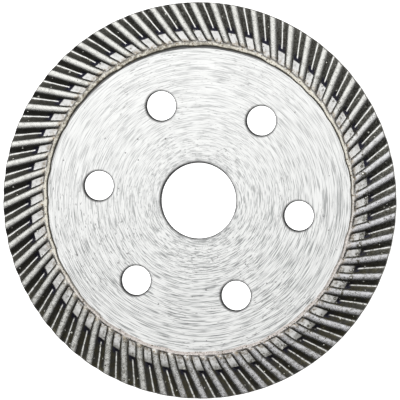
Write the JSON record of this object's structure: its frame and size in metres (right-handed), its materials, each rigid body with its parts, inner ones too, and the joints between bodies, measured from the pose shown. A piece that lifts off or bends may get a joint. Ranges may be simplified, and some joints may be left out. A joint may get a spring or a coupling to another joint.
{
  "type": "diamond blade",
  "caption": "Small dry-cutting diamond blade for an angle grinder: a flat steel disc with a round bore and cooling holes, and a continuous sintered rim with slanted turbo ribs on both faces.",
  "frame": {"origin": "on the bore's axis at the disc's mid-thickness", "axes": "+Z along the bore's axis towards the front face; the blade lies flat, and +X and +Y lie in the disc"},
  "size_m": [0.105, 0.105, 0.0024],
  "materials": {
    "ground_steel": "ground in circles, satin",
    "sintered_bond": "granular sintered metal, dressed on the crests, warmer at the inner band",
    "diamond": "small crystals, dressed flat on the crests"
  },
  "bodies": {
    "root": {"steel_core": "ground_steel", "turbo_rim": "sintered_bond", "grit_front": "diamond", "grit_back": "diamond", "grit_edge": "diamond"}
  },
  "joints": []
}
